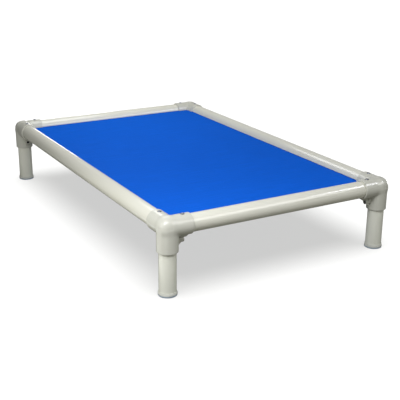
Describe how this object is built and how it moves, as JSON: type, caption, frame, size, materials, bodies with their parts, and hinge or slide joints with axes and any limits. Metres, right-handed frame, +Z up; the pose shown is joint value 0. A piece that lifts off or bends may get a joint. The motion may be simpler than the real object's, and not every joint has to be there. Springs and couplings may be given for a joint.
{
  "type": "dog bed",
  "caption": "Raised dog bed: a blue fabric sheet held taut in a frame of plastic tubes, with moulded corner fittings on short capped legs.",
  "frame": {"origin": "on the floor, under the middle of the bed", "axes": "+X along the bed, +Y across it, +Z up"},
  "size_m": [1.0204, 0.6444, 0.1875],
  "materials": {
    "rail": "almond extruded tube, semi-gloss",
    "leg": "almond extruded tube, semi-gloss",
    "fitting": "almond moulded plastic, satin",
    "foot_cap": "soft grey vinyl",
    "stainless_screw": "bright stainless",
    "black_screw": "black oxide",
    "fabric": "plain woven coated fabric, matte",
    "spline": "plain drawn rod"
  },
  "bodies": {
    "root": {"corner_fitting_back_left": "fitting", "corner_fitting_back_right": "fitting", "corner_fitting_front_left": "fitting", "corner_fitting_front_right": "fitting", "fabric": "fabric", "foot_cap_back_left": "foot_cap", "foot_cap_back_right": "foot_cap", "foot_cap_front_left": "foot_cap", "foot_cap_front_right": "foot_cap", "hem_back": "fabric", "hem_front": "fabric", "hem_left": "fabric", "hem_right": "fabric", "leg_back_left": "leg", "leg_back_right": "leg", "leg_front_left": "leg", "leg_front_right": "leg", "leg_screw_back_left_1": "black_screw", "leg_screw_back_left_2": "black_screw", "leg_screw_back_right_1": "black_screw", "leg_screw_back_right_2": "black_screw", "leg_screw_front_left_1": "black_screw", "leg_screw_front_left_2": "black_screw", "leg_screw_front_right_1": "black_screw", "leg_screw_front_right_2": "black_screw", "rail_back": "rail", "rail_front": "rail", "rail_left": "rail", "rail_right": "rail", "spline_back": "spline", "spline_front": "spline", "spline_left": "spline", "spline_right": "spline", "top_screw_back_left_1": "stainless_screw", "top_screw_back_left_2": "stainless_screw", "top_screw_back_right_1": "stainless_screw", "top_screw_back_right_2": "stainless_screw", "top_screw_front_left_1": "stainless_screw", "top_screw_front_left_2": "stainless_screw", "top_screw_front_right_1": "stainless_screw", "top_screw_front_right_2": "stainless_screw"}
  },
  "joints": []
}
